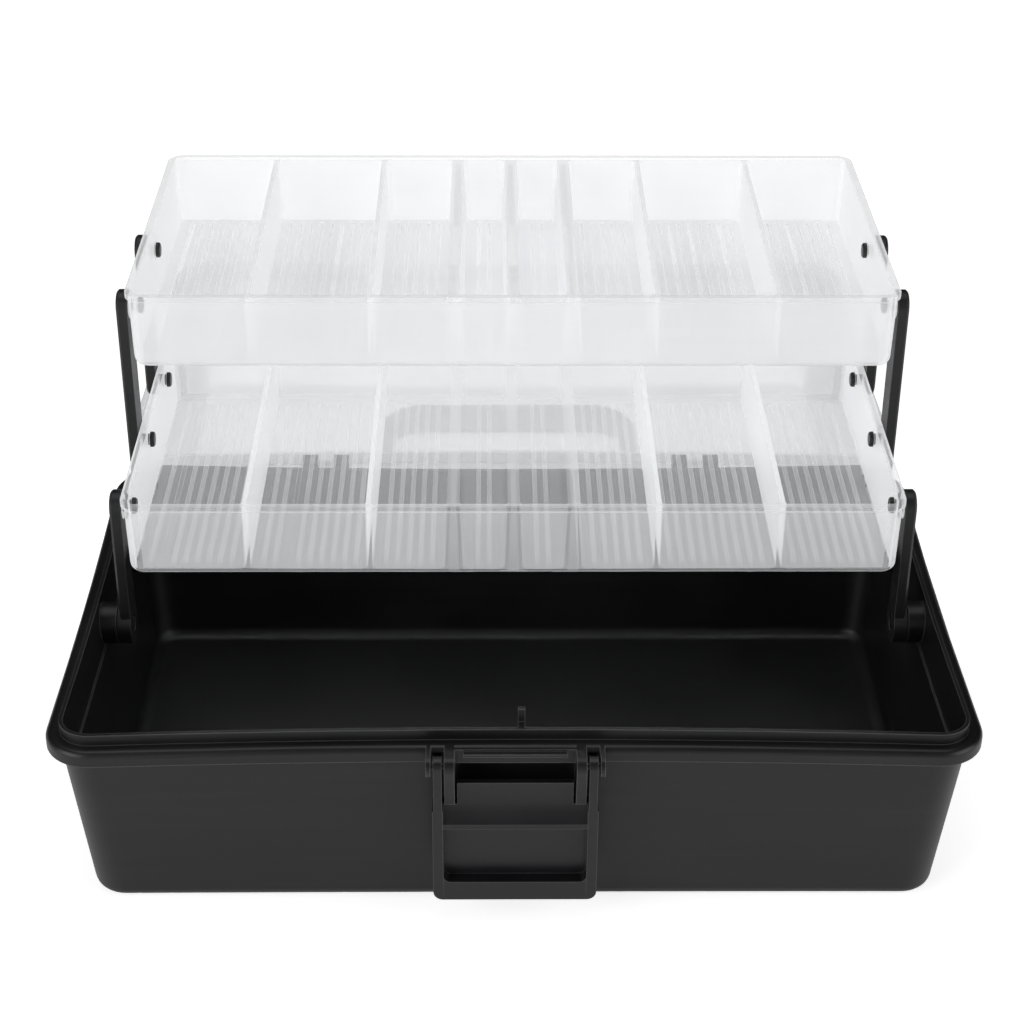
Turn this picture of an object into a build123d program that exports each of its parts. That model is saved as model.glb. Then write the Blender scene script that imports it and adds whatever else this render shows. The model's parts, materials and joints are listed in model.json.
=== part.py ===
from build123d import *
from math import acos, cos, degrees
import os

# A tackle box that stands open: a black tub, two clear trays on folding arms, and a clear lid
# turned right back behind the tub. Millimetres. The origin is the centre of the tub's underside,
# X runs to the right, Y to the rear and Z up. Places along Y and Z are those of the open box.

# Tub
tub_width = 329.3            # over the flange, before its corners are rounded
tub_depth = 201.7
flange_top = 72.8            # above the underside
flange_skirt = 5.6           # height of the flange's outer face
flange_wall = 2.2
flange_corner = 17.0
bead_radius = 2.4            # rounding of the flange's upper edge
front_bow = 4.1              # how far the long sides of the rim bow inwards
side_bow = 1.6               # how far the short sides of the rim bow inwards
wall = 2.2
wall_draft = 7.0             # lean of the front and side walls, from flange to underside
rear_draft = 15.2            # lean of the rear wall
floor_wall = 2.4
bottom_radius = 5.0
floor_radius = 5.0
lip_inset = 5.2              # flange edge to lip
lip_wall = 1.5
lip_height = 4.2             # above the flange
lip_corner = 11.5
ledge_drop = 14.0            # narrow step round the inside of the walls, below the flange's top
ledge_width = 0.8
tab_width = 2.5
tab_wall = 1.7
tab_root = 4.0               # tab below the flange's top
tab_rise = 9.4               # tab above the flange's top
tab_behind = 1.2             # tab behind the closed lid's wall
tab_x = 2.2

# Trays
tray_depth = 142.0
tray_height = 30.0
tray_wall = 1.7
tray_floor = 1.8
tray_draft = 0.5
tray_corner = 5.6
tray_bottom_radius = 3.5
rim_band = 2.2               # height of the outward rim
rim_proud = 1.1
thin_divider = 1.8
wide_divider_top = 4.5
wide_divider_foot = 6.6
wide_divider_skin = 1.2
divider_drop = 0.8           # top of a divider below the rim
wide_place = 0.154           # outer wide dividers, as a share of half the tray's width
thin_places = (0.37, 0.685)  # thin dividers, as shares of half the tray's width
rib_pitch = 4.3
rib_width = 1.7
rib_height = 0.8
rib_side_margin = 4.0        # floor left plain beside the outer ribs
rib_end_margin = 5.0         # floor left plain at the ends of the ribs

# Folding arms, upright when the box is open
arm_pitch = 50.8             # distance between neighbouring arms
lower_reach = 51.7           # tub pivot to lower tray pivot
upper_reach = 57.5           # lower tray pivot to upper tray pivot
base_pivot_y = -6.9          # front pivot on the tub
base_pivot_z = 65.6
lower_pivot_drop = 6.0       # pivot below the lower tray's rim
upper_pivot_drop = 10.0      # pivot below the upper tray's rim
lower_pivot_inset = 12.0     # front pivot behind the lower tray's front
upper_pivot_inset = 15.0     # front pivot behind the upper tray's front
arm_thickness = 4.2
arm_width = 12.0
arm_edge = 0.8
hub_radius = 8.0
hub_thickness = 5.2
hub_room = 8.4               # inner face of the tub's lip to a hub
boss_bite = 0.3              # how far a pivot boss reaches into the bowed wall
side_gap = 0.3               # between pieces that turn side by side
stack_gap = 0.6              # folded upper tray above the lower one

# Pivot pins
pin_radius = 2.2
pin_head_radius = 3.0
pin_head = 1.6
pin_head_edge = 0.5
pin_clearance = 0.06
pin_boss_radius = 5.0
seat_radius = 3.6
seat_rise = 0.4              # flat seat of a pin's head above the tray's leaning wall
head_play = 0.1
socket_depth = 3.2
base_pin_seat = 2.6          # depth of the pin in the tub's side wall

# Lid
hinge_gap = 3.0              # hinge axis behind the flange
hinge_lift = 0.7             # hinge axis above the flange
knuckle_radius = 3.0
knuckle_length = 6.2
knuckle_lift = 0.8           # root of a knuckle above the skirt's lower edge
hinge_x = 78.0               # middle of each hinge
hinge_pin_radius = 1.3
seal_gap = 0.3               # closed lid above the flange
lid_skirt = 5.9
lid_skirt_wall = 2.2
lip_room = 0.5               # closed lid above the lip
lid_wall = 2.2
lid_inset = 6.5              # flange edge to the lid's wall
lid_draft = 4.0
lid_room = 7.6               # closed upper tray to the lid's top
lid_top_radius = 5.0
lid_corner = 10.5
catch_width = 39.0
catch_front = 3.4            # catch beyond the middle of the flange
catch_height = 12.0          # above the lid's flange
catch_rounding = 1.6

# Handle, folded against the lid
handle_width = 126.0
handle_reach = 75.5          # pivot to the outside of the grip
handle_pivot_y = 7.5         # with the lid closed
handle_leg = 7.0
handle_grip = 14.0
handle_thickness = 10.0
handle_corner = 22.0
handle_edge = 1.6
leg_end_flat = 0.02          # left flat at the round end of a leg
lug_wall = 3.0
handle_pin_radius = 2.0

# Latch, hanging open at the front
latch_pivot_out = 5.1        # pivot in front of the middle of the flange
latch_pivot_z = 69.0
latch_length = 57.0          # pivot to the lower edge
latch_rail = 3.0
latch_rail_x = 25.4          # inner face of a rail at its eye
latch_side = 28.9            # half width of the latch below its eyes
latch_side_wall = 3.7
latch_neck = 17.0            # pivot to where the rails widen
latch_eye_radius = 3.6
latch_pin_radius = 1.4
latch_pin_seat = 2.6         # depth of the pin in the lug
latch_gap = 0.8              # rail to the lug and the ear beside it
latch_top = 8.0              # pivot to the panel's upper edge
latch_hook = 23.2            # pivot to the upper side of the hook
latch_hook_height = 2.0
latch_hook_reach = 3.0       # hook in front of the pivot
latch_hook_slope = 0.5       # fall of the hook's underside towards the panel
latch_hollow = 0.6           # depth of the hollow above the hook
latch_floor = 2.0            # panel behind the pivot
latch_panel_wall = 2.0
latch_rim = 2.8              # side walls and lower edge in front of the pivot
latch_lip = 8.0              # height of the lower edge
latch_corner = 3.4
latch_recess_corner = 2.5
ear_wall = 1.7
lug_width = 3.6
ear_radius = 3.8
lug_height = 15.8            # lugs below the pivot
lug_foot = 1.0               # lower end of a lug in front of the pivot
bar_proud = 0.8
bar_bite = 0.5               # how far the bar reaches into a lug
slot_length = 36.0
slot_height = 1.2
slot_depth = 1.8

# Places worked out from the sizes above
rim_x = tub_width / 2
rim_y = tub_depth / 2
skirt_bottom = flange_top - flange_skirt
flange_under = flange_top - flange_wall
ledge_z = flange_top - ledge_drop
lip_top = flange_top + lip_height
inner_inset = lip_inset + lip_wall
inner_corner = lip_corner - lip_wall
overhang = inner_inset - wall
hub_outer = rim_x - inner_inset - hub_room
arm_inner = hub_outer - hub_thickness
tray_x = arm_inner - side_gap
wide_dividers = [side * wide_place * tray_x for side in (-1, 0, 1)]
thin_dividers = [side * place * tray_x for side in (-1, 1) for place in thin_places]
base_pivots = [(base_pivot_y + n * arm_pitch, base_pivot_z) for n in range(2)]
lower_z = base_pivot_z + lower_reach
upper_z = lower_z + upper_reach
lower_pivots = [(base_pivot_y + n * arm_pitch, lower_z) for n in range(3)]
upper_pivots = [(base_pivot_y + n * arm_pitch, upper_z) for n in range(1, 3)]
lower_front = base_pivot_y - lower_pivot_inset
upper_front = base_pivot_y + arm_pitch - upper_pivot_inset
lower_rim = lower_z + lower_pivot_drop
upper_rim = upper_z + upper_pivot_drop

# Folded flat, the upper tray lies just above the lower one, which gives the fold's angle
fold_rise = tray_height + stack_gap + lower_pivot_drop - upper_pivot_drop
fold_angle = acos(fold_rise / upper_reach)
closed_rim = base_pivot_z + (lower_reach + upper_reach) * cos(fold_angle) + upper_pivot_drop
hinge_y = rim_y + hinge_gap
hinge_z = flange_top + hinge_lift
lid_bottom = flange_top + seal_gap
lid_flange = lid_bottom + lid_skirt
lid_inner_top = closed_rim + lid_room
lid_top = lid_inner_top + lid_wall
front_face = front_bow - rim_y
latch_y = front_face - latch_pivot_out
lug_outer = latch_rail_x - latch_gap
lug_inner = lug_outer - lug_width
ear_inner = latch_rail_x + latch_rail + latch_gap
ear_outer = ear_inner + ear_wall
mount_back = front_face + overhang + wall / 2
tab_front = front_face + lid_inset + lid_wall + tab_behind
mount_lean = (wall_draft - front_bow) / flange_top
knuckle_step = knuckle_length + side_gap
handle_z = lid_top + side_gap
handle_axis_z = handle_z + handle_thickness / 2
leg_outer = handle_width / 2
leg_inner = leg_outer - handle_leg

# The lid, its catch and its handle are drawn as on the closed box, in a frame that is turned
# half a turn about the hinge axis: a point at y, z of the closed box lies at the open one
lid_frame = Plane(origin=(0, 2 * hinge_y, 2 * hinge_z), x_dir=(1, 0, 0), z_dir=(0, 0, -1))


def lid_side(x):
    # Side view of the lid at a given X, with the closed box's Y and Z as its own two directions
    return Plane(origin=(x, 2 * hinge_y, 2 * hinge_z), x_dir=(0, -1, 0), z_dir=(1, 0, 0))


def bowed_outline(inset, corner):
    # Outline of the rim, drawn in from the flange's edge, its four sides bowed inwards
    x = rim_x - inset
    y = rim_y - inset
    with BuildLine() as outline:
        ThreePointArc((-x, -y), (0, front_bow - y), (x, -y))
        ThreePointArc((x, -y), (x - side_bow, 0), (x, y))
        ThreePointArc((x, y), (0, y - front_bow), (-x, y))
        ThreePointArc((-x, y), (side_bow - x, 0), (-x, -y))
    make_face(outline.edges())
    fillet(vertices(), corner)


def straight_outline(x, front, rear, corner):
    with BuildLine() as outline:
        Polyline((-x, front), (x, front), (x, rear), (-x, rear), close=True)
    make_face(outline.edges())
    fillet(vertices(), corner)


def save(piece, name):
    piece.part.label = name
    export_step(piece.part, f"parts/{name}.step")


os.makedirs("parts", exist_ok=True)


def make_hollow(step):
    # Inside of the tub with its walls drawn in by a step, from the floor to the flange's top
    with BuildPart() as hollow:
        with BuildSketch(Plane.XY.offset(floor_wall)):
            straight_outline(rim_x - inner_inset - wall_draft - step, inner_inset + wall_draft + step - rim_y,
                             rim_y - inner_inset - rear_draft - step, inner_corner - step)
        with BuildSketch(Plane.XY.offset(flange_top)):
            bowed_outline(inner_inset + step, inner_corner - step)
        loft(ruled=True)
        fillet(hollow.faces().sort_by(Axis.Z)[0].edges(), floor_radius)
    return hollow


# The walls' inside has a narrow step all round, some way below the rim
lower_hollow = make_hollow(ledge_width)
with BuildPart() as upper_hollow:
    add(make_hollow(0).part)
    split(bisect_by=Plane.XY.offset(ledge_z), keep=Keep.TOP)

# Tub: a flange with a hanging skirt, leaning walls and an upright lip in line with them
with BuildPart() as base_tub:
    with BuildSketch(Plane.XY.offset(skirt_bottom)):
        bowed_outline(0, flange_corner)
    extrude(amount=flange_skirt)
    fillet(base_tub.faces().sort_by(Axis.Z)[-1].edges(), bead_radius)
    with BuildSketch(Plane.XY.offset(skirt_bottom)):
        bowed_outline(flange_wall, flange_corner - flange_wall)
    extrude(amount=flange_skirt - flange_wall, mode=Mode.SUBTRACT)
    with BuildSketch(Plane.XY):
        straight_outline(rim_x - overhang - wall_draft, overhang + wall_draft - rim_y,
                         rim_y - overhang - rear_draft, inner_corner + wall)
    with BuildSketch(Plane.XY.offset(flange_top - flange_wall / 2)):
        bowed_outline(overhang, inner_corner + wall)
    loft(ruled=True)
    fillet(base_tub.faces().sort_by(Axis.Z)[0].edges(), bottom_radius)
    with BuildSketch(Plane.XY.offset(flange_top)):
        bowed_outline(lip_inset, lip_corner)
    extrude(amount=lip_height)
    with BuildSketch(Plane.XY.offset(flange_top)):
        bowed_outline(inner_inset, inner_corner)
    extrude(amount=lip_height, mode=Mode.SUBTRACT)
    add(upper_hollow.part, mode=Mode.SUBTRACT)
    add(lower_hollow.part, mode=Mode.SUBTRACT)
    # Bosses on the side walls carry the four lower pivots of the arms
    for side in (-1, 1):
        with BuildSketch(Plane.YZ.offset(side * (hub_outer + side_gap))):
            with Locations(*base_pivots):
                Circle(hub_radius)
        extrude(amount=side * (hub_room - side_bow + boss_bite - side_gap))
        with BuildSketch(Plane.YZ.offset(side * (hub_outer + side_gap))):
            with Locations(*base_pivots):
                Circle(pin_radius)
        extrude(amount=side * base_pin_seat, mode=Mode.SUBTRACT)
    # Small upright tab behind the middle of the front lip, just inside the closed lid
    with BuildSketch(Plane.YZ.offset(tab_x - tab_width / 2)):
        Polygon(
            (front_face + inner_inset - lip_wall / 2, flange_top - tab_root),
            (tab_front + tab_wall, flange_top),
            (tab_front + tab_wall, flange_top + tab_rise),
            (tab_front, flange_top + tab_rise),
            (tab_front, lip_top),
            (front_face + inner_inset - lip_wall / 2, lip_top),
            align=None,
        )
    extrude(amount=tab_width)
    # Latch mount: a slotted bar on the flange, two inner lugs and two thin ears at the pivot
    with Locations((0, front_face, flange_top)):
        Box(2 * (lug_inner + bar_bite), 2 * bar_proud, flange_skirt, align=(Align.CENTER, Align.CENTER, Align.MAX))
    with Locations((0, front_face - bar_proud, flange_top - bar_proud)):
        Box(slot_length, 2 * slot_depth, slot_height, align=(Align.CENTER, Align.CENTER, Align.MAX))
    for side in (-1, 1):
        for start, width, drop, foot, shoulder in (
            (lug_inner, lug_width, lug_height, lug_foot, ear_radius),
            (ear_inner, ear_wall, ear_radius, 0, 0),
        ):
            foot_back = mount_back + mount_lean * (flange_top - latch_pivot_z + drop)
            with BuildSketch(Plane.YZ.offset(side * start)):
                with Locations((latch_y, latch_pivot_z)):
                    Circle(ear_radius)
                Polygon(
                    (latch_y, latch_pivot_z + ear_radius),
                    (mount_back, latch_pivot_z + ear_radius),
                    (foot_back, latch_pivot_z - drop),
                    (latch_y - foot, latch_pivot_z - drop),
                    (latch_y - shoulder, latch_pivot_z),
                    align=None,
                )
            extrude(amount=side * width)
        with BuildSketch(Plane.YZ.offset(side * (lug_outer - latch_pin_seat))):
            with Locations((latch_y, latch_pivot_z)):
                Circle(latch_pin_radius)
        extrude(amount=side * (latch_pin_seat + ear_outer - lug_outer), mode=Mode.SUBTRACT)
    # Two knuckles of each lid hinge stand behind the flange, with the lid's knuckle between them
    for side in (-1, 1):
        for place in (-1, 1):
            start = side * hinge_x + place * knuckle_step - knuckle_length / 2
            with BuildSketch(Plane.YZ.offset(start)):
                with Locations((hinge_y, hinge_z)):
                    Circle(knuckle_radius)
                Polygon(
                    (rim_y - front_bow - flange_wall, flange_top),
                    (rim_y - front_bow - flange_wall, skirt_bottom + knuckle_lift),
                    (rim_y - hinge_gap, skirt_bottom + knuckle_lift),
                    (hinge_y, hinge_z - knuckle_radius),
                    (hinge_y, flange_top),
                    align=None,
                )
                with Locations((hinge_y, hinge_z)):
                    Circle(hinge_pin_radius, mode=Mode.SUBTRACT)
            extrude(amount=knuckle_length)

save(base_tub, "base_tub")


def make_tray(name, front, rim, pivots, pivot_drop):
    # A leaning box with an outward rim. Its compartments are hollowed one by one, which leaves
    # four thin dividers and three wide ones. The wide ones are hollow and open underneath.
    middle = front + tray_depth / 2
    bottom = rim - tray_height
    floor = bottom + tray_floor
    body_x = tray_x - rim_proud
    body_y = tray_depth / 2 - rim_proud
    inner_x = body_x - tray_wall
    inner_y = body_y - tray_wall
    seat_x = inner_x - tray_draft * pivot_drop / tray_height - seat_rise
    with BuildPart() as tray:
        with BuildSketch(Plane.XY.offset(bottom)):
            with Locations((0, middle)):
                RectangleRounded(2 * (body_x - tray_draft), 2 * (body_y - tray_draft), tray_corner)
        with BuildSketch(Plane.XY.offset(rim)):
            with Locations((0, middle)):
                RectangleRounded(2 * body_x, 2 * body_y, tray_corner)
        loft(ruled=True)
        fillet(tray.faces().sort_by(Axis.Z)[0].edges(), tray_bottom_radius)
        with BuildSketch(Plane.XY.offset(rim - rim_band)):
            with Locations((0, middle)):
                RectangleRounded(2 * tray_x, tray_depth, tray_corner + rim_proud)
        extrude(amount=rim_band)
        for side in (-1, 1):
            with BuildSketch(Plane.YZ.offset(side * tray_x)):
                with Locations(*pivots):
                    Circle(pin_boss_radius)
            extrude(amount=-side * (rim_proud + tray_wall))
        # Compartments, each a little narrower at its floor
        edges_floor = [tray_draft - inner_x]
        edges_rim = [-inner_x]
        for x in sorted(wide_dividers + thin_dividers):
            wide = x in wide_dividers
            half_foot = (wide_divider_foot if wide else thin_divider) / 2
            half_top = (wide_divider_top if wide else thin_divider) / 2
            edges_floor += [x - half_foot, x + half_foot]
            edges_rim += [x - half_top, x + half_top]
        edges_floor.append(inner_x - tray_draft)
        edges_rim.append(inner_x)
        for n in range(0, len(edges_floor), 2):
            for z, (left, right), half in (
                (floor, edges_floor[n:n + 2], inner_y - tray_draft),
                (rim, edges_rim[n:n + 2], inner_y),
            ):
                with BuildSketch(Plane.XY.offset(z)):
                    with Locations(((left + right) / 2, middle)):
                        RectangleRounded(right - left, 2 * half, tray_corner - tray_wall - rim_proud)
            loft(ruled=True, mode=Mode.SUBTRACT)
        with BuildSketch(Plane.XY.offset(rim - divider_drop)):
            with Locations((0, middle)):
                RectangleRounded(2 * inner_x, 2 * inner_y, tray_corner - tray_wall)
        extrude(amount=divider_drop, mode=Mode.SUBTRACT)
        # Hollows under the wide dividers
        hollow_y = body_y - tray_draft - tray_bottom_radius
        with BuildSketch(Plane.XZ.offset(hollow_y - middle)):
            for x in wide_dividers:
                half_foot = wide_divider_foot / 2 - wide_divider_skin
                half_top = wide_divider_top / 2 - wide_divider_skin
                top = rim - divider_drop - wide_divider_skin
                Polygon((x - half_foot, bottom), (x + half_foot, bottom),
                        (x + half_top, top), (x - half_top, top), align=None)
        extrude(amount=-2 * hollow_y, mode=Mode.SUBTRACT)
        # Ribs along each floor, evenly spread
        rib_length = 2 * (inner_y - tray_draft - rib_end_margin)
        for n in range(0, len(edges_floor), 2):
            left, right = edges_floor[n:n + 2]
            count = 1 + int((right - left - 2 * rib_side_margin) / rib_pitch)
            with Locations(((left + right) / 2, middle, floor + rib_height / 2)):
                with GridLocations(rib_pitch, 1, count, 1):
                    Box(rib_width, rib_length, rib_height)
        # Flat seats for the pins' heads, and the pins' holes
        for side in (-1, 1):
            with BuildSketch(Plane.YZ.offset(side * seat_x)):
                with Locations(*pivots):
                    Circle(seat_radius)
            extrude(amount=side * tray_wall)
            with BuildSketch(Plane.YZ.offset(side * seat_x)):
                with Locations(*pivots):
                    Circle(pin_radius + pin_clearance)
            extrude(amount=side * (tray_x - seat_x), mode=Mode.SUBTRACT)
    save(tray, name)
    return tray, seat_x


def make_arm(name, side, foot, sockets, hub):
    # A flat bar with round ends, its edges rounded on the outside. A hub at its foot turns on the
    # tub, and blind sockets in its inner face hold the pins of the trays.
    start = Plane.YZ.offset(side * arm_inner)
    reach = sockets[-1][1] - foot[1]
    with BuildPart() as arm:
        with BuildSketch(start):
            with Locations((foot[0], foot[1] + reach / 2)):
                SlotCenterToCenter(reach, arm_width, rotation=90)
        extrude(amount=side * arm_thickness)
        chamfer(arm.faces().sort_by(Axis.X)[-1 if side > 0 else 0].edges(), arm_edge)
        if hub:
            with BuildSketch(start):
                with Locations(foot):
                    Circle(hub_radius)
            extrude(amount=side * hub_thickness)
            with BuildSketch(start):
                with Locations(foot):
                    Circle(pin_radius + pin_clearance)
            extrude(amount=side * hub_thickness, mode=Mode.SUBTRACT)
            with BuildSketch(start):
                with Locations(foot):
                    Circle(pin_head_radius + side_gap)
            extrude(amount=side * (pin_head + head_play), mode=Mode.SUBTRACT)
        with BuildSketch(start):
            with Locations(*(sockets if hub else [foot, *sockets])):
                Circle(pin_radius)
        extrude(amount=side * socket_depth, mode=Mode.SUBTRACT)
    save(arm, name)


def make_pin(name, side, place, head_x, length):
    # A push-in pin along X: a flat head and a plain shank. The head's inner face lies at head_x.
    with BuildPart() as pin:
        with BuildSketch(Plane.YZ.offset(side * head_x)):
            with Locations(place):
                Circle(pin_head_radius)
        extrude(amount=side * pin_head)
        chamfer(pin.faces().sort_by(Axis.X)[0 if side > 0 else -1].edges(), pin_head_edge)
        with BuildSketch(Plane.YZ.offset(side * (head_x + pin_head))):
            with Locations(place):
                Circle(pin_radius)
        extrude(amount=side * length)
    save(pin, name)


lower_tray, lower_seat = make_tray("lower_tray", lower_front, lower_rim, lower_pivots, lower_pivot_drop)
upper_tray, upper_seat = make_tray("upper_tray", upper_front, upper_rim, upper_pivots, upper_pivot_drop)

for side, hand in ((-1, "left"), (1, "right")):
    make_arm(f"lower_arm_{hand}", side, base_pivots[0], [lower_pivots[0]], True)
    make_arm(f"long_arm_{hand}", side, base_pivots[1], [lower_pivots[1], upper_pivots[0]], True)
    make_arm(f"upper_arm_{hand}", side, lower_pivots[2], [upper_pivots[1]], False)
    for place, where in zip(base_pivots, ("front", "rear")):
        length = hub_thickness - pin_head - head_play + side_gap + base_pin_seat
        make_pin(f"base_{where}_pin_{hand}", side, place, arm_inner + head_play, length)
    for place, where in zip(lower_pivots, ("front", "middle", "rear")):
        head_x = lower_seat - head_play - pin_head
        length = arm_inner + socket_depth - lower_seat + head_play
        make_pin(f"lower_{where}_pin_{hand}", side, place, head_x, length)
    for place, where in zip(upper_pivots, ("front", "rear")):
        head_x = upper_seat - head_play - pin_head
        length = arm_inner + socket_depth - upper_seat + head_play
        make_pin(f"upper_{where}_pin_{hand}", side, place, head_x, length)

# Inside of the lid: leaning walls and a flat top with a rounded edge
with BuildPart() as lid_hollow:
    with BuildSketch(lid_frame.offset(lid_bottom)):
        bowed_outline(lid_inset + lid_wall, lid_corner - lid_wall)
    with BuildSketch(lid_frame.offset(lid_inner_top)):
        bowed_outline(lid_inset + lid_wall + lid_draft, lid_corner - lid_wall)
    loft(ruled=True)
    fillet(lid_hollow.faces().sort_by(Axis.Z)[0].edges(), lid_top_radius - lid_wall)

# Lid: a flange with a skirt that covers the tub's lip, walls and top, a catch for the latch,
# four lugs for the handle and two hinge knuckles
with BuildPart() as lid:
    with BuildSketch(lid_frame.offset(lid_bottom)):
        bowed_outline(0, flange_corner)
    extrude(amount=lid_skirt)
    fillet(lid.faces().sort_by(Axis.Z)[0].edges(), bead_radius)
    with BuildSketch(lid_frame.offset(lid_flange - bead_radius)):
        bowed_outline(lid_inset, lid_corner)
    with BuildSketch(lid_frame.offset(lid_top)):
        bowed_outline(lid_inset + lid_draft, lid_corner)
    loft(ruled=True)
    fillet(lid.faces().sort_by(Axis.Z)[0].edges(), lid_top_radius)
    with BuildSketch(lid_side(-catch_width / 2)):
        Polygon(
            (front_face - catch_front, lid_flange - bead_radius),
            (front_face - catch_front, lid_flange + catch_height),
            (front_face + lid_inset + lid_wall / 2, lid_flange + catch_height),
            (front_face + lid_inset + lid_wall / 2, lid_flange - bead_radius),
            align=None,
        )
        fillet(vertices().group_by(Axis.X)[0].sort_by(Axis.Y)[-1], catch_rounding)
    extrude(amount=catch_width)
    with BuildSketch(lid_frame.offset(lid_bottom)):
        bowed_outline(lid_skirt_wall, flange_corner - lid_skirt_wall)
    extrude(amount=lip_top + lip_room - lid_bottom, mode=Mode.SUBTRACT)
    add(lid_hollow.part, mode=Mode.SUBTRACT)
    for start in (leg_inner - side_gap - lug_wall, leg_outer + side_gap):
        for side in (-1, 1):
            with BuildSketch(lid_side(side * start)):
                with Locations((handle_pivot_y, handle_axis_z)):
                    Circle(handle_thickness / 2)
                with Locations((handle_pivot_y, lid_top - lid_wall / 2)):
                    Rectangle(handle_thickness, handle_axis_z - lid_top + lid_wall / 2,
                              align=(Align.CENTER, Align.MIN))
                with Locations((handle_pivot_y, handle_axis_z)):
                    Circle(handle_pin_radius, mode=Mode.SUBTRACT)
            extrude(amount=side * lug_wall)
    for side in (-1, 1):
        with BuildSketch(lid_side(side * hinge_x - knuckle_length / 2)):
            with Locations((hinge_y, hinge_z)):
                Circle(knuckle_radius)
            Polygon(
                (rim_y - front_bow - lid_skirt_wall / 2, lid_bottom),
                (hinge_y, lid_bottom),
                (hinge_y, hinge_z + knuckle_radius),
                (rim_y - front_bow - lid_skirt_wall / 2, hinge_z + knuckle_radius),
                align=None,
            )
            with Locations((hinge_y, hinge_z)):
                Circle(hinge_pin_radius + pin_clearance, mode=Mode.SUBTRACT)
        extrude(amount=knuckle_length)
save(lid, "lid")

# Handle: a bail with a broad grip, folded forward against the lid's top
with BuildPart() as handle:
    with BuildSketch(lid_frame.offset(handle_z)):
        with BuildLine():
            Polyline(
                (-leg_outer, handle_pivot_y + handle_thickness / 2),
                (-leg_outer, handle_pivot_y - handle_reach),
                (leg_outer, handle_pivot_y - handle_reach),
                (leg_outer, handle_pivot_y + handle_thickness / 2),
                (leg_inner, handle_pivot_y + handle_thickness / 2),
                (leg_inner, handle_pivot_y - handle_reach + handle_grip),
                (-leg_inner, handle_pivot_y - handle_reach + handle_grip),
                (-leg_inner, handle_pivot_y + handle_thickness / 2),
                close=True,
            )
        make_face()
        fillet(vertices().group_by(Axis.Y)[1], handle_corner - handle_leg)
        fillet(vertices().group_by(Axis.Y)[0], handle_corner)
    extrude(amount=handle_thickness)
    leg_ends = handle.faces().sort_by(Axis.Y)[:2]
    fillet(leg_ends.edges().filter_by(Axis.X), handle_thickness / 2 - leg_end_flat / 2)
    chamfer(handle.edges().filter_by(GeomType.CIRCLE, reverse=True).filter_by(Axis.Y), handle_edge)
    with BuildSketch(lid_side(-leg_outer)):
        with Locations((handle_pivot_y, handle_axis_z)):
            Circle(handle_pin_radius + pin_clearance)
    extrude(amount=2 * leg_outer, mode=Mode.SUBTRACT)
save(handle, "handle")


def latch_point(out, down):
    # A place on the hanging latch, measured forward and down from its pivot
    return latch_y - out, latch_pivot_z - down


# Latch: a panel between two side walls, hanging from two eyes. Its concave upper part ends at the
# hook that grips the lid's catch, and its recessed lower part ends at a thick lower edge.
with BuildPart() as latch:
    with BuildSketch(Plane.YZ.offset(-latch_rail_x)):
        with BuildLine():
            Polyline(
                latch_point(latch_hook_reach, latch_hook),
                latch_point(latch_hook_reach, latch_hook + latch_hook_height),
                latch_point(-latch_floor, latch_hook + latch_hook_height + latch_hook_slope),
                latch_point(-latch_floor, latch_length - latch_lip),
                latch_point(latch_rim, latch_length - latch_lip),
                latch_point(latch_rim, latch_length),
                latch_point(-latch_floor - latch_panel_wall, latch_length),
                latch_point(-latch_floor - latch_panel_wall, latch_neck),
                latch_point(-latch_floor / 2 - latch_panel_wall, latch_top),
                latch_point(-latch_floor / 2, latch_top),
            )
            ThreePointArc(
                latch_point(-latch_floor / 2, latch_top),
                latch_point(-latch_floor / 2 + latch_hollow, latch_neck),
                latch_point(latch_hook_reach, latch_hook),
            )
        make_face()
    extrude(amount=2 * latch_rail_x)
    # Above its neck the panel is narrower, so that it swings between the lugs
    for side in (-1, 1):
        with BuildSketch(Plane.YZ.offset(side * (lug_inner - latch_gap))):
            with Locations((latch_y, latch_pivot_z)):
                Circle(lug_height + latch_gap)
        extrude(amount=side * (latch_rail_x - lug_inner + latch_gap), mode=Mode.SUBTRACT)
    for side in (-1, 1):
        with BuildSketch(Plane.YZ.offset(side * latch_rail_x)):
            with Locations((latch_y, latch_pivot_z)):
                Circle(latch_eye_radius)
            Polygon(
                latch_point(latch_eye_radius, 0),
                latch_point(-latch_eye_radius, 0),
                latch_point(-latch_floor - latch_panel_wall, latch_neck),
                latch_point(-latch_floor - latch_panel_wall, latch_length),
                latch_point(latch_rim, latch_length),
                latch_point(latch_eye_radius, latch_neck),
                align=None,
            )
        extrude(amount=side * latch_rail)
        with BuildSketch(Plane.YZ.offset(side * latch_side)):
            Polygon(
                latch_point(-latch_floor - latch_panel_wall, latch_neck),
                latch_point(-latch_floor - latch_panel_wall, latch_length),
                latch_point(latch_rim, latch_length),
                latch_point(latch_eye_radius, latch_neck),
                align=None,
            )
        extrude(amount=-side * latch_side_wall)
        with BuildSketch(Plane.YZ.offset(side * latch_rail_x)):
            with Locations((latch_y, latch_pivot_z)):
                Circle(latch_pin_radius + pin_clearance)
        extrude(amount=side * latch_rail, mode=Mode.SUBTRACT)
    lower_corners = latch.edges().filter_by(Axis.Y).group_by(Axis.Z)[0]
    fillet(lower_corners, latch_corner)
    recess_z = latch_pivot_z - latch_length + latch_lip
    recess_edges = latch.edges().filter_by(Axis.Y)
    fillet(recess_edges.filter_by_position(Axis.Z, recess_z - side_gap, recess_z + side_gap),
           latch_recess_corner)
save(latch, "latch")


def make_rod(name, start, length, place, radius):
    # A plain round pin along X
    with BuildPart() as rod:
        with BuildSketch(Plane.YZ.offset(start)):
            with Locations(place):
                Circle(radius)
        extrude(amount=length)
    save(rod, name)


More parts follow.
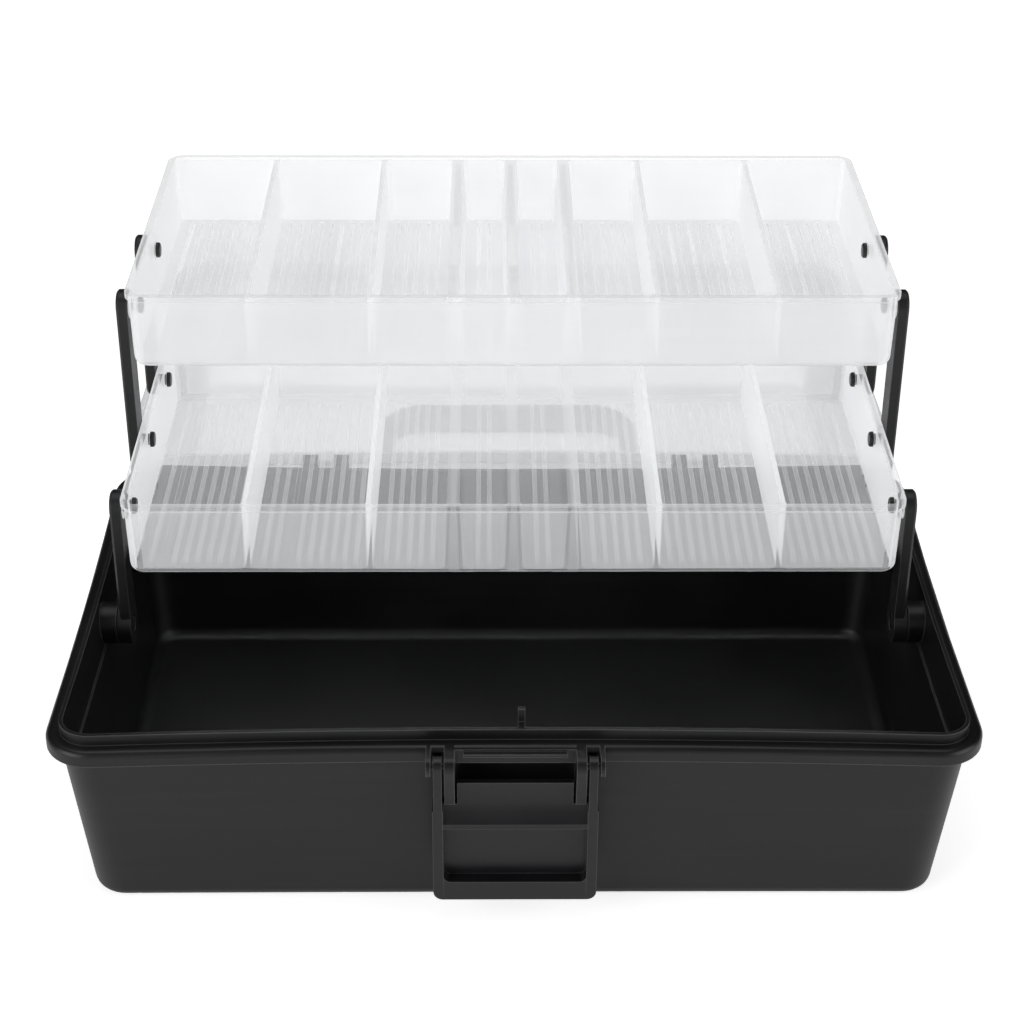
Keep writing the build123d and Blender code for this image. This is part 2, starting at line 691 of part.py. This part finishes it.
hinge_pin_length = 2 * knuckle_step + knuckle_length
latch_pin_length = ear_outer - lug_outer + latch_pin_seat
handle_pin_length = handle_leg + 2 * side_gap + 2 * lug_wall
handle_axis = (2 * hinge_y - handle_pivot_y, 2 * hinge_z - handle_axis_z)
for side, hand in ((-1, "left"), (1, "right")):
    make_rod(f"hinge_pin_{hand}", side * hinge_x - hinge_pin_length / 2, hinge_pin_length,
             (hinge_y, hinge_z), hinge_pin_radius)
    latch_pin_start = lug_outer - latch_pin_seat if side > 0 else -ear_outer
    make_rod(f"latch_pin_{hand}", latch_pin_start, latch_pin_length,
             (latch_y, latch_pivot_z), latch_pin_radius)
    handle_pin_start = side * (leg_inner + leg_outer) / 2 - handle_pin_length / 2
    make_rod(f"handle_pin_{hand}", handle_pin_start, handle_pin_length, handle_axis, handle_pin_radius)

print("Fold angle", round(degrees(fold_angle), 2), "closed height", round(handle_z + handle_thickness, 1))
print("Hinge axis", hinge_y, hinge_z, "handle axis", handle_axis, "latch axis", (latch_y, latch_pivot_z))
print("Lower pivots", lower_pivots, "rim", lower_rim, "front", lower_front)
print("Upper pivots", upper_pivots, "rim", upper_rim, "front", upper_front)
print("Lid top", lid_top, "lid inner top", lid_inner_top)
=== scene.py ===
import json
from math import cos, pi, radians, sin

import bmesh
import bpy
from mathutils import Matrix, Vector

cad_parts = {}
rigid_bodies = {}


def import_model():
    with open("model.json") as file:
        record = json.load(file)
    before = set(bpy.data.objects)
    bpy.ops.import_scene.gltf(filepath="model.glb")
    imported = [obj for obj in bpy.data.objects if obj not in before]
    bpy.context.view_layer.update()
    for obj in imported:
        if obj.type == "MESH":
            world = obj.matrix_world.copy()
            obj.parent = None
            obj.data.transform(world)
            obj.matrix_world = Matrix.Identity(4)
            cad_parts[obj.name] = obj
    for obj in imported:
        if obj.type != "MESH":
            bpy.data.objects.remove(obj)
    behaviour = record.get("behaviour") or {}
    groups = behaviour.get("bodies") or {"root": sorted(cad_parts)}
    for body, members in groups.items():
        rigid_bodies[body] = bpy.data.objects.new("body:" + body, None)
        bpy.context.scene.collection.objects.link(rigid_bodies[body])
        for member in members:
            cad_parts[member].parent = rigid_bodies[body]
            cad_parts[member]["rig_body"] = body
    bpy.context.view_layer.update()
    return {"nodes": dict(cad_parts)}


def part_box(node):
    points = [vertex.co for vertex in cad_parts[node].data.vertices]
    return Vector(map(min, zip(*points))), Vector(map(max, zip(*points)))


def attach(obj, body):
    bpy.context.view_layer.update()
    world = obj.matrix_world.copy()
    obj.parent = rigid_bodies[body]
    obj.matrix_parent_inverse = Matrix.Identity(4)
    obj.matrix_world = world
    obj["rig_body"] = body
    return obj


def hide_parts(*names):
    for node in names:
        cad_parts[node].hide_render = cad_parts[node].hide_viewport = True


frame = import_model()
scene = bpy.context.scene
scene.view_settings.view_transform = "Standard"
scene.cycles.transparent_max_bounces = 96  # the trays and the lid are many clear skins deep


# Shader helpers

def newGroup(name, inputs, outputs):
    group = bpy.data.node_groups.new(name, "ShaderNodeTree")
    for label, value in inputs.items():
        socket = group.interface.new_socket(name=label, in_out="INPUT", socket_type="NodeSocketFloat")
        socket.default_value = value
    for label in outputs:
        group.interface.new_socket(name=label, in_out="OUTPUT", socket_type="NodeSocketFloat")
    return group, group.nodes.new("NodeGroupInput"), group.nodes.new("NodeGroupOutput")


def addNode(tree, kind, values=None, **settings):
    node = tree.nodes.new(kind)
    for key, value in settings.items():
        setattr(node, key, value)
    for key, value in (values or {}).items():
        node.inputs[key].default_value = value
    return node


def feed(tree, source, socket):
    # A link where the source is an output, or else a plain value
    if isinstance(source, (int, float)):
        socket.default_value = source
    else:
        tree.links.new(source, socket)


def stretchedNoise(tree, stretch, scale, detail):
    # Noise on object coordinates, with its own stretch along each axis
    place = addNode(tree, "ShaderNodeTexCoord")
    turn = addNode(tree, "ShaderNodeMapping", {"Scale": stretch})
    noise = addNode(tree, "ShaderNodeTexNoise", {"Detail": detail})
    tree.links.new(place.outputs["Object"], turn.inputs["Vector"])
    tree.links.new(turn.outputs["Vector"], noise.inputs["Vector"])
    feed(tree, scale, noise.inputs["Scale"])
    return noise.outputs["Fac"]


def spread(tree, value, low, high):
    # Maps a noise value, which keeps near its middle, onto low..high
    node = addNode(tree, "ShaderNodeMapRange", {"From Min": 0.3, "From Max": 0.7})
    tree.links.new(value, node.inputs["Value"])
    feed(tree, low, node.inputs["To Min"])
    feed(tree, high, node.inputs["To Max"])
    return node.outputs["Result"]


def mixValues(tree, share, first, second):
    node = addNode(tree, "ShaderNodeMix", data_type="FLOAT")
    feed(tree, share, node.inputs["Factor"])
    feed(tree, first, node.inputs["A"])
    feed(tree, second, node.inputs["B"])
    return node.outputs["Result"]


def calculate(tree, operation, first, second):
    node = addNode(tree, "ShaderNodeMath", operation=operation)
    feed(tree, first, node.inputs[0])
    feed(tree, second, node.inputs[1])
    return node.outputs[0]


skinGrain = {
    "even": (1, 1, 1), "flowStretch": (0.12, 0.12, 3.0), "flowScale": 90.0, "streaks": 0.5,
    "pitDetail": 3.0, "flowDetail": 4.0, "cloudDetail": 4.0,
}


def makeMouldedSkin(grain):
    # Grain of moulded plastic: fine pits, soft clouds of gloss, and long faint flow marks
    group, entry, leave = newGroup(
        "mouldedSkin",
        {"Grain Scale": 1400.0, "Cloud Scale": 22.0, "Gloss Low": 0.3, "Gloss High": 0.45, "Flow": 0.25},
        ("Height", "Roughness", "Cloud"),
    )
    wanted = entry.outputs
    pits = stretchedNoise(group, grain["even"], wanted["Grain Scale"], grain["pitDetail"])
    flow = stretchedNoise(group, grain["flowStretch"], grain["flowScale"], grain["flowDetail"])
    cloud = stretchedNoise(group, grain["even"], wanted["Cloud Scale"], grain["cloudDetail"])
    height = mixValues(group, wanted["Flow"], pits, flow)
    rough = spread(group, cloud, wanted["Gloss Low"], wanted["Gloss High"])
    group.links.new(height, leave.inputs["Height"])
    group.links.new(rough, leave.inputs["Roughness"])
    group.links.new(mixValues(group, grain["streaks"], cloud, flow), leave.inputs["Cloud"])
    return group


def makeEdgeHighlightMask():
    # Mask of the outer edges, where a lighter colour is painted on as a highlight
    group, entry, leave = newGroup("edgeHighlightMask", {"Radius": 0.0006}, ("Mask",))
    soft = addNode(group, "ShaderNodeBevel", samples=4)
    true = addNode(group, "ShaderNodeNewGeometry")
    match = addNode(group, "ShaderNodeVectorMath", operation="DOT_PRODUCT")
    mask = addNode(group, "ShaderNodeMapRange", {"From Min": 0.995, "From Max": 0.85})
    group.links.new(entry.outputs["Radius"], soft.inputs["Radius"])
    group.links.new(soft.outputs["Normal"], match.inputs[0])
    group.links.new(true.outputs["Normal"], match.inputs[1])
    group.links.new(match.outputs["Value"], mask.inputs["Value"])
    group.links.new(mask.outputs["Result"], leave.inputs["Mask"])
    return group


def makeSlabCover(shallowest):
    # What a thin milky skin holds back of the light behind it, more where it is seen at a slant
    group, entry, leave = newGroup("slabCover", {"Facing": 0.0, "Skin": 0.2}, ("Alpha",))
    upright = calculate(group, "SUBTRACT", 1.0, entry.outputs["Facing"])
    floored = calculate(group, "MAXIMUM", upright, shallowest)
    path = calculate(group, "DIVIDE", 1.0, floored)
    clear = calculate(group, "SUBTRACT", 1.0, entry.outputs["Skin"])
    through = calculate(group, "POWER", clear, path)
    group.links.new(calculate(group, "SUBTRACT", 1.0, through), leave.inputs["Alpha"])
    return group


mouldedSkin = makeMouldedSkin(skinGrain)
edgeHighlightMask = makeEdgeHighlightMask()
slabCover = makeSlabCover(0.13)


def mouldedPlastic(name, look):
    # Opaque moulded plastic with cloudy gloss and fine grain, and where asked a painted highlight along
    # its edges
    material = bpy.data.materials.new(name)
    material.use_nodes = True
    tree = material.node_tree
    shader = tree.nodes["Principled BSDF"]
    skin = addNode(tree, "ShaderNodeGroup")
    skin.node_tree = mouldedSkin
    for label in ("Grain Scale", "Cloud Scale", "Gloss Low", "Gloss High", "Flow"):
        skin.inputs[label].default_value = look[label]
    tint = addNode(tree, "ShaderNodeMix", data_type="RGBA")
    tint.inputs["A"].default_value = (*look["dark"], 1)
    tint.inputs["B"].default_value = (*look["light"], 1)
    bump = addNode(tree, "ShaderNodeBump", {"Strength": look["bump"], "Distance": 0.0001})
    links = tree.links
    links.new(spread(tree, skin.outputs["Cloud"], 0.0, 1.0), tint.inputs["Factor"])
    links.new(tint.outputs["Result"], shader.inputs["Base Color"])
    links.new(skin.outputs["Roughness"], shader.inputs["Roughness"])
    links.new(skin.outputs["Height"], bump.inputs["Height"])
    links.new(bump.outputs["Normal"], shader.inputs["Normal"])
    shader.inputs["IOR"].default_value = 1.49
    if "paintedHighlight" in look:
        # Painted highlight: a lighter colour laid along the edges, standing in for the light they catch
        edge = addNode(tree, "ShaderNodeGroup")
        edge.node_tree = edgeHighlightMask
        edge.inputs["Radius"].default_value = look["highlightRadius"]
        highlighted = addNode(tree, "ShaderNodeMix", data_type="RGBA")
        highlighted.inputs["B"].default_value = (*look["paintedHighlight"], 1)
        links.new(tint.outputs["Result"], highlighted.inputs["A"])
        links.new(edge.outputs["Mask"], highlighted.inputs["Factor"])
        links.new(highlighted.outputs["Result"], shader.inputs["Base Color"])
    return material


def clearPlastic(name, look):
    # Natural polypropylene: a thin milky veil that the things behind show through. Its slight glow
    # stands for the light that is scattered inside it
    material = mouldedPlastic(name, look)
    tree = material.node_tree
    shader = tree.nodes["Principled BSDF"]
    cloud = stretchedNoise(tree, (1, 1, 1), look["veilScale"], look["veilDetail"])
    slant = addNode(tree, "ShaderNodeLayerWeight", {"Blend": 0.5})
    cover = addNode(tree, "ShaderNodeGroup")
    cover.node_tree = slabCover
    tree.links.new(slant.outputs["Facing"], cover.inputs["Facing"])
    tree.links.new(spread(tree, cloud, look["thin"], look["thick"]), cover.inputs["Skin"])
    tree.links.new(cover.outputs["Alpha"], shader.inputs["Alpha"])
    shader.inputs["Emission Color"].default_value = (*look["light"], 1)
    shader.inputs["Emission Strength"].default_value = look["glow"]
    material.surface_render_method = "BLENDED"
    return material


# The lighter edge colours given below are painted highlights
blackMoulding = mouldedPlastic("blackMoulding", {
    "dark": (0.003, 0.003, 0.0034), "light": (0.0095, 0.0095, 0.0102), "bump": 0.14,
    "paintedHighlight": (0.12, 0.12, 0.123), "highlightRadius": 0.0006,
    "Grain Scale": 1500.0, "Cloud Scale": 14.0, "Gloss Low": 0.32, "Gloss High": 0.44, "Flow": 0.3,
})
blackLatch = mouldedPlastic("blackLatch", {
    "dark": (0.0065, 0.0065, 0.0078), "light": (0.0115, 0.0115, 0.0135), "bump": 0.1,
    "paintedHighlight": (0.09, 0.09, 0.094), "highlightRadius": 0.0005,
    "Grain Scale": 1800.0, "Cloud Scale": 40.0, "Gloss Low": 0.3, "Gloss High": 0.4, "Flow": 0.2,
})
blackArm = mouldedPlastic("blackArm", {
    "dark": (0.009, 0.009, 0.0095), "light": (0.0125, 0.0125, 0.013), "bump": 0.15,
    "paintedHighlight": (0.05, 0.05, 0.052), "highlightRadius": 0.0005,
    "Grain Scale": 1700.0, "Cloud Scale": 45.0, "Gloss Low": 0.36, "Gloss High": 0.48, "Flow": 0.2,
})
blackPin = mouldedPlastic("blackPin", {
    "dark": (0.006, 0.006, 0.0065), "light": (0.009, 0.009, 0.0095), "bump": 0.1,
    "Grain Scale": 2200.0, "Cloud Scale": 120.0, "Gloss Low": 0.3, "Gloss High": 0.42, "Flow": 0.1,
})
steelPin = mouldedPlastic("steelPin", {
    "dark": (0.5, 0.5, 0.51), "light": (0.58, 0.58, 0.59), "bump": 0.05,
    "Grain Scale": 2500.0, "Cloud Scale": 200.0, "Gloss Low": 0.25, "Gloss High": 0.35, "Flow": 0.6,
})
steelPin.node_tree.nodes["Principled BSDF"].inputs["Metallic"].default_value = 1.0

clearLook = {
    "dark": (0.84, 0.846, 0.86), "light": (0.88, 0.886, 0.896), "bump": 0.08, "glow": 0.27,
    "veilScale": 14.0, "veilDetail": 3.0,
    "Grain Scale": 1200.0, "Cloud Scale": 18.0, "Gloss Low": 0.3, "Gloss High": 0.42, "Flow": 0.5,
}
clearVeils = {  # how much one skin holds back where it is seen square on
    "clearTray": {"thin": 0.03, "thick": 0.038},
    "clearFloor": {"thin": 0.122, "thick": 0.136},
    "milkyTray": {"thin": 0.34, "thick": 0.38, "glow": 0.23},
    "clearRib": {"thin": 0.065, "thick": 0.08},
    "clearWeb": {"thin": 0.3, "thick": 0.34},
    "clearRim": {"thin": 0.18, "thick": 0.22},
    "clearLid": {"thin": 0.3, "thick": 0.35, "glow": 0.16},
}
clear = {name: clearPlastic(name, {**clearLook, **veil}) for name, veil in clearVeils.items()}
print("materials made")


formLimits = {"weld": 2e-6, "flat": 0.5, "crease": 32, "corner": 40, "segments": 2}


def mergedForm(node, limits):
    # The faces of a solid, merged back from triangles into whole faces
    form = bmesh.new()
    form.from_mesh(frame["nodes"][node].data)
    bmesh.ops.remove_doubles(form, verts=form.verts, dist=limits["weld"])
    flatten(form, limits)
    for face in form.faces:
        face.material_index = 0
    return form


def flatten(form, limits):
    bmesh.ops.dissolve_limit(form, angle_limit=radians(limits["flat"]), verts=form.verts, edges=form.edges)


def dressPiece(form, name, materials, body, limits, edge=0.0):
    # A finished piece of a form: smooth faces, crisp creases and softly rounded edges
    for face in form.faces:
        face.smooth = True
    for line in form.edges:
        line.smooth = line.calc_face_angle(pi) < radians(limits["crease"])
    mesh = bpy.data.meshes.new(name)
    form.to_mesh(mesh)
    form.free()
    for material in materials:
        mesh.materials.append(material)
    piece = bpy.data.objects.new(name, mesh)
    scene.collection.objects.link(piece)
    if edge:
        rounding = piece.modifiers.new("edges", "BEVEL")
        rounding.width = edge
        rounding.segments = limits["segments"]
        rounding.limit_method = "ANGLE"
        rounding.angle_limit = radians(limits["corner"])
        rounding.harden_normals = True
    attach(piece, body)
    return piece


# Pieces that keep the form of their solid

black = "black_moulding"
wholePieces = {
    "base_tub": {"name": "tub", "finish": blackMoulding, "slot": black, "edge": 0.0004},
    "handle": {"name": "bail", "finish": blackMoulding, "slot": black, "edge": 0.0006},
    "latch": {"name": "swingLatch", "finish": blackLatch, "slot": black, "edge": 0.0004},
    "lid": {"name": "clearLidShell", "finish": clear["clearLid"], "slot": "clear_lid", "edge": 0.0003},
}
armLook = {"finish": blackArm, "slot": "black_arm", "edge": 0.0003}
for hand in ("left", "right"):
    for arm in ("lower", "long", "upper"):
        wholePieces[f"{arm}_arm_{hand}"] = {"name": f"{arm}Arm.{hand}", **armLook}

for node, look in wholePieces.items():
    form = mergedForm(node, formLimits)
    body = frame["nodes"][node]["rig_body"]
    piece = dressPiece(form, look["name"], [look["finish"]], body, formLimits, look["edge"])
    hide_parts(node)
print("black pieces and lid dressed")


# Trays: the square ribs of the solids are taken off and low round-ended ribs are laid in their place

traySizes = {
    "floor": 0.0018, "rimBand": 0.0022, "edge": 0.0003, "slack": 0.00002,
    "ribHeight": 0.0008, "ribSink": 0.0002, "ribEnd": 0.0006, "ribBrow": 0.0003,
    "ribEndSegments": 4, "ribBrowSegments": 2,
    "webPlaces": (0.37, 0.685), "webReach": 0.002, "sideShare": 0.9,  # places are shares of half the width
    "hollowPlace": 0.154, "hollowReach": 0.0034, "hollowEnd": 0.006, "hollowCorners": 12,
    "floorReach": 1.5, "squareOn": 0.9, "leaning": 0.5,
}


def takeRibs(form, floorTop, sizes, limits):
    # Deletes the ribs of a tray's floor, closes the floor, and gives back the left, right, front
    # and rear of each rib
    ribTop = floorTop + sizes["ribHeight"]
    tops = [face for face in form.faces
            if all(abs(vert.co.z - ribTop) < sizes["slack"] for vert in face.verts)]
    sides = {beside for face in tops for line in face.edges for beside in line.link_faces} - set(tops)
    places = sorted([end(vert.co[axis] for vert in face.verts) for axis in (0, 1) for end in (min, max)]
                    for face in tops)
    bmesh.ops.delete(form, geom=tops + list(sides), context="FACES")
    gaps = [line for line in form.edges if line.is_boundary]
    bmesh.ops.holes_fill(form, edges=gaps, sides=0)
    bmesh.ops.recalc_face_normals(form, faces=form.faces)
    flatten(form, limits)
    return places


def roundOff(form, lines, offset, segments):
    bmesh.ops.bevel(form, geom=lines, offset=offset, segments=segments, profile=0.5,
                    affect="EDGES", material=-1)


def addRibs(form, places, floorTop, sizes):
    # Low ribs with round ends and rounded shoulders, their feet sunk just into the floor
    foot, top = floorTop - sizes["ribSink"], floorTop + sizes["ribHeight"]
    for left, right, front, rear in places:
        middle = Matrix.Translation(((left + right) / 2, (front + rear) / 2, (foot + top) / 2))
        span = Matrix.Diagonal((right - left, rear - front, top - foot, 1))
        bmesh.ops.create_cube(form, size=1, matrix=middle @ span)
    corners = [line for line in form.edges
               if abs(line.verts[0].co.z - line.verts[1].co.z) > sizes["slack"]]
    roundOff(form, corners, sizes["ribEnd"], sizes["ribEndSegments"])
    brow = [line for line in form.edges
            if all(top - vert.co.z < sizes["slack"] for vert in line.verts)]
    roundOff(form, brow, sizes["ribBrow"], sizes["ribBrowSegments"])


def markTrayFaces(form, low, high, sizes):
    # Second material: the rim band. Third: the side walls, the thin dividers and the ends of the
    # hollow ones. Fourth: the floor
    for face in form.faces:
        spot = face.calc_center_median()
        share = abs(spot.x) / high[0]
        inEnd = min(spot.y - low[1], high[1] - spot.y) < sizes["hollowEnd"]
        hollow = min(share, abs(share - sizes["hollowPlace"])) * high[0] < sizes["hollowReach"]
        web = min(abs(share - place) for place in sizes["webPlaces"]) * high[0] < sizes["webReach"]
        sideways = abs(face.normal.x) > (sizes["squareOn"] if web else sizes["leaning"])
        endways = abs(face.normal.y) > sizes["squareOn"] and len(face.verts) < sizes["hollowCorners"]
        if min(vert.co.z for vert in face.verts) > high[2] - sizes["rimBand"] - sizes["slack"]:
            face.material_index = 1
        elif sideways and (web or share > sizes["sideShare"]):
            face.material_index = 2
        elif (spot.z < low[2] + sizes["floor"] * sizes["floorReach"]
              and abs(face.normal.z) > sizes["squareOn"]):
            face.material_index = 3
        elif inEnd and hollow and endways:
            face.material_index = 2


traySkins = {"lower": ("clearTray", "clearFloor"), "upper": ("milkyTray", "milkyTray")}

for level, (walls, base) in traySkins.items():
    node = f"{level}_tray"
    low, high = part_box(node)
    floorTop = low[2] + traySizes["floor"]
    form = mergedForm(node, formLimits)
    places = takeRibs(form, floorTop, traySizes, formLimits)
    markTrayFaces(form, low, high, traySizes)
    skins = [clear[name] for name in (walls, "clearRim", "clearWeb", base)]
    shell = dressPiece(form, f"{level}TrayShell", skins, node, formLimits, traySizes["edge"])
    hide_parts(node)
    ribs = bmesh.new()
    addRibs(ribs, places, floorTop, traySizes)
    dressPiece(ribs, f"{level}TrayRibs", [clear["clearRib"]], node, formLimits)
    print(level, "tray dressed with", len(places), "ribs")

for name, node in frame["nodes"].items():
    if "_pin_" in name:
        node.data.materials.clear()
        node.data.materials.append(steelPin if name.startswith("hinge") else blackPin)


# Camera of the photograph, from its solved place, direction and focal length

photoView = {
    "place": (-0.0089, -0.7072, 0.5289),
    "pitch": 30.62, "yaw": 0.68, "roll": 0.32,
    "focal": 2196.8, "frame": 1024, "sensor": 36, "nearest": 0.01,
}


def makeCamera(view):
    data = bpy.data.cameras.new("photoCamera")
    data.sensor_width = view["sensor"]
    data.sensor_fit = "HORIZONTAL"
    data.lens = view["focal"] / view["frame"] * data.sensor_width
    data.clip_start = view["nearest"]
    camera = bpy.data.objects.new("photoCamera", data)
    scene.collection.objects.link(camera)
    pitch, yaw, roll = (radians(view[key]) for key in ("pitch", "yaw", "roll"))
    ahead = Vector((sin(yaw) * cos(pitch), cos(yaw) * cos(pitch), -sin(pitch)))
    right = Vector((cos(yaw), -sin(yaw), 0))
    up = right.cross(ahead)
    rightRolled = cos(roll) * right + sin(roll) * up
    upRolled = cos(roll) * up - sin(roll) * right
    turn = Matrix((rightRolled, upRolled, -ahead)).transposed().to_4x4()
    camera.matrix_world = Matrix.Translation(view["place"]) @ turn
    scene.camera = camera


makeCamera(photoView)


# Studio: a white floor, and a surround that is white to the camera but dark above and behind the box

studio = {
    "floorSize": 12.0, "floorWhite": 0.9, "floorRough": 0.9,
    "floorGlow": 0.73, "tableGlow": 0.29, "fadeStart": 0.8, "fadeEnd": 3.0,
    "darkSide": (0.0, 0.7, 0.7), "darkFrom": -0.7, "darkTo": 0.2, "front": 0.42, "rear": 0.02,
    "aim": (0, 0.05, 0.08),
    "key": {"place": (-1.5, -1.1, 0.8), "size": 1.4, "power": 16.0},
    "fill": {"place": (1.6, -0.7, 0.7), "size": 1.4, "power": 11.0},
    "top": {"place": (-0.1, 0.3, 2.0), "size": 1.6, "power": 10.0},
}


def makeFloor(look):
    mesh = bpy.data.meshes.new("studioFloor")
    form = bmesh.new()
    bmesh.ops.create_grid(form, x_segments=1, y_segments=1, size=look["floorSize"] / 2)
    form.to_mesh(mesh)
    form.free()
    floor = bpy.data.objects.new("studioFloor", mesh)
    scene.collection.objects.link(floor)
    material = bpy.data.materials.new("studioFloor")
    material.use_nodes = True
    tree = material.node_tree
    shader = tree.nodes["Principled BSDF"]
    shader.inputs["Base Color"].default_value = (look["floorWhite"],) * 3 + (1,)
    shader.inputs["Roughness"].default_value = look["floorRough"]
    shader.inputs["Specular IOR Level"].default_value = 0.0
    shader.inputs["Emission Color"].default_value = (1, 1, 1, 1)
    path = addNode(tree, "ShaderNodeLightPath")
    place = addNode(tree, "ShaderNodeTexCoord")
    reach = addNode(tree, "ShaderNodeVectorMath", operation="LENGTH")
    faded = addNode(tree, "ShaderNodeMapRange", {
        "From Min": look["fadeStart"], "From Max": look["fadeEnd"],
        "To Min": look["floorGlow"], "To Max": 1.0})
    glow = addNode(tree, "ShaderNodeMapRange", {"To Min": look["tableGlow"]})
    tree.links.new(place.outputs["Object"], reach.inputs[0])
    tree.links.new(reach.outputs["Value"], faded.inputs["Value"])
    tree.links.new(faded.outputs["Result"], glow.inputs["To Max"])
    tree.links.new(path.outputs["Is Camera Ray"], glow.inputs["Value"])
    tree.links.new(glow.outputs["Result"], shader.inputs["Emission Strength"])
    mesh.materials.append(material)


def makeSurround(look):
    world = bpy.data.worlds.new("studioSurround")
    world.use_nodes = True
    scene.world = world
    tree = world.node_tree
    place = addNode(tree, "ShaderNodeTexCoord")
    away = addNode(tree, "ShaderNodeVectorMath", {1: look["darkSide"]}, operation="DOT_PRODUCT")
    rise = addNode(tree, "ShaderNodeMapRange", {
        "From Min": look["darkFrom"], "From Max": look["darkTo"],
        "To Min": look["front"], "To Max": look["rear"]})
    path = addNode(tree, "ShaderNodeLightPath")
    back = tree.nodes["Background"]
    back.inputs["Color"].default_value = (1, 1, 1, 1)
    tree.links.new(place.outputs["Generated"], away.inputs[0])
    tree.links.new(away.outputs["Value"], rise.inputs["Value"])
    strength = mixValues(tree, path.outputs["Is Camera Ray"], rise.outputs["Result"], 1.0)
    tree.links.new(strength, back.inputs["Strength"])


def makeLamp(name, look, aim):
    data = bpy.data.lights.new(name, "AREA")
    data.shape = "SQUARE"
    data.size = look["size"]
    data.energy = look["power"]
    lamp = bpy.data.objects.new(name, data)
    scene.collection.objects.link(lamp)
    turn = (Vector(aim) - Vector(look["place"])).to_track_quat("-Z", "Y").to_matrix().to_4x4()
    lamp.matrix_world = Matrix.Translation(look["place"]) @ turn


makeFloor(studio)
makeSurround(studio)
for lampName in ("key", "fill", "top"):
    makeLamp(lampName + "Softbox", studio[lampName], studio["aim"])
print("studio ready")
